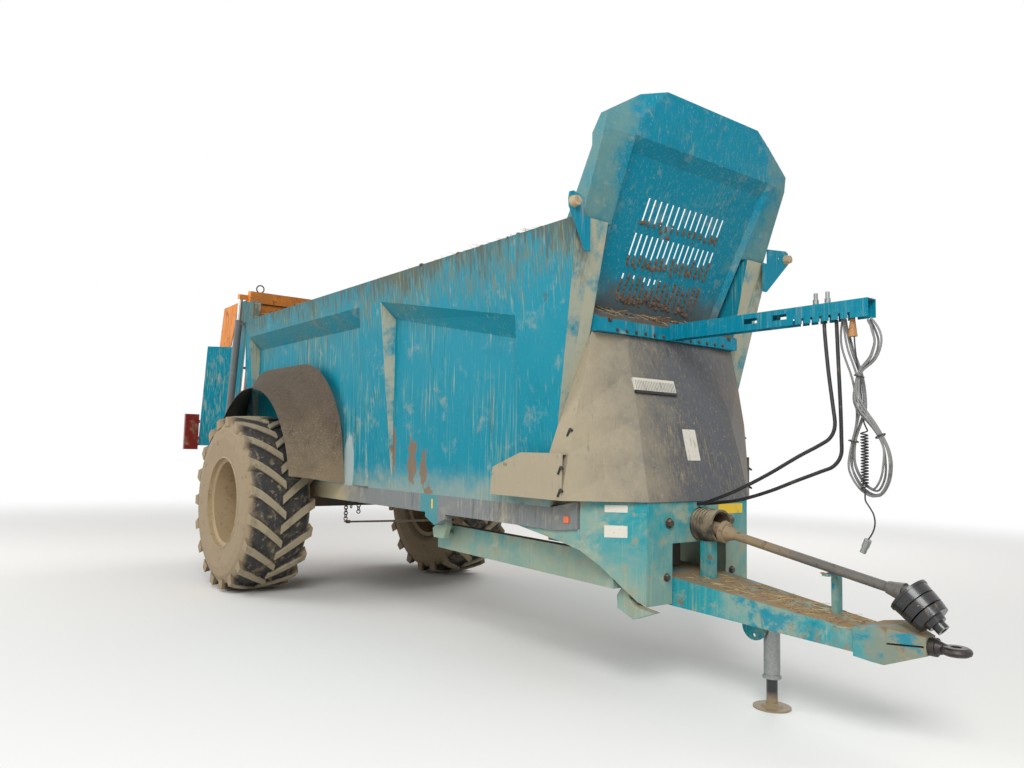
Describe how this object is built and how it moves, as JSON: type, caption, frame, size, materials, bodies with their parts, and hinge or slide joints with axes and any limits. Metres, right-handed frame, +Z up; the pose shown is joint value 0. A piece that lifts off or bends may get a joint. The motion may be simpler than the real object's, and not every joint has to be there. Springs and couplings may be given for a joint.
{
  "type": "manure spreader",
  "caption": "Towed single-axle farm spreader with a tall steel load box, chain floor, rear lifting gate, two upright helical rotors, drawbar, jack and hose arm.",
  "frame": {"origin": "on the ground under the middle of the machine, half way between the towing eye and the rotors", "axes": "+X forwards to the towing eye, +Y to the left, +Z up"},
  "size_m": [8.8802, 3.108, 3.825],
  "materials": {
    "black_plastic": "matt, scuffed",
    "blue_paint": "satin, dusty and streaked",
    "bright_rod": "polished rod",
    "brown_plastic": "matt, faded",
    "cream_paint": "satin, muddy",
    "dark_steel": "dull, greasy",
    "floor_steel": "worn and dirty",
    "galvanised": "dull zinc",
    "grey_cover": "matt, muddy",
    "grey_sleeve": "woven sleeve",
    "guard_plastic": "matt, muddy",
    "hose_rubber": "smooth rubber",
    "lamp_plastic": "dirty lens",
    "orange_paint": "satin, chipped",
    "rim_paint": "satin, dusty",
    "rusty_steel": "rusty",
    "tyre": "rubber, muddy"
  },
  "bodies": {
    "frame": {"floor": "floor_steel", "floor_chains": "rusty_steel", "side_wall_right": "blue_paint", "side_wall_left": "blue_paint", "front_wall": "blue_paint", "hood": "blue_paint", "hood_ledge": "blue_paint", "front_cover": "grey_cover", "marker_brackets": "blue_paint", "marker_lamps": "cream_paint", "sills": "dark_steel", "cross_members": "blue_paint", "drawbar_cheeks": "blue_paint", "spring_arms": "blue_paint", "drawbar": "blue_paint", "towing_eye": "dark_steel", "jack_tube": "galvanised", "axle_beam": "dark_steel", "mudguard_right": "guard_plastic", "mudguard_left": "guard_plastic", "rear_pillars": "blue_paint", "gate_barrels": "dark_steel", "rotor_plate_right": "blue_paint", "rotor_plate_left": "blue_paint", "rotor_top_beam": "blue_paint", "rotor_gearbox": "dark_steel", "top_guards": "orange_paint", "wings": "blue_paint", "rear_lamps": "lamp_plastic", "drive_gearbox": "dark_steel", "drive_guard": "black_plastic", "drive_shaft": "black_plastic", "shaft_bell": "black_plastic", "driveline": "dark_steel", "hose_arm": "blue_paint", "hose_couplers": "galvanised", "dust_cone": "brown_plastic", "hose_front": "hose_rubber", "hose_rear": "hose_rubber", "grey_hose": "grey_sleeve", "lead_top": "hose_rubber", "coiled_lead": "hose_rubber", "lead_end": "hose_rubber", "lead_plug": "galvanised"},
    "wheel_right": {"wheel_hub_right": "rim_paint", "rim_right": "rim_paint", "tyre_right": "tyre"},
    "wheel_left": {"wheel_hub_left": "rim_paint", "rim_left": "rim_paint", "tyre_left": "tyre"},
    "gate": {"gate": "orange_paint", "gate_rods": "bright_rod"},
    "rotor_right": {"rotor_right": "orange_paint"},
    "rotor_left": {"rotor_left": "orange_paint"},
    "jack_leg": {"jack_leg": "dark_steel"}
  },
  "joints": [
    {"name": "wheel_right_spin", "type": "hinge", "parent": "frame", "child": "wheel_right", "pos_m": [-2.18951, -1.22, 0.9], "axis": [0, 1, 0], "continuous": true},
    {"name": "wheel_left_spin", "type": "hinge", "parent": "frame", "child": "wheel_left", "pos_m": [-2.18951, 1.22, 0.9], "axis": [0, 1, 0], "continuous": true},
    {"name": "rotor_right_spin", "type": "hinge", "parent": "frame", "child": "rotor_right", "pos_m": [-4.04868, -0.42, 1.26994], "axis": [0.1513, 0, 0.9885], "continuous": true},
    {"name": "rotor_left_spin", "type": "hinge", "parent": "frame", "child": "rotor_left", "pos_m": [-4.04868, 0.42, 1.26994], "axis": [0.1513, 0, 0.9885], "continuous": true},
    {"name": "gate_lift", "type": "slide", "parent": "frame", "child": "gate", "axis": [0.1513, 0, 0.9885], "range_m": [0, 1.15]},
    {"name": "jack_extend", "type": "slide", "parent": "frame", "child": "jack_leg", "axis": [0, 0, 1], "range_m": [-0.2, 0.14]}
  ],
  "couplings": [
    {"joint": "rotor_left_spin", "follows": "rotor_right_spin", "ratio": -1}
  ]
}
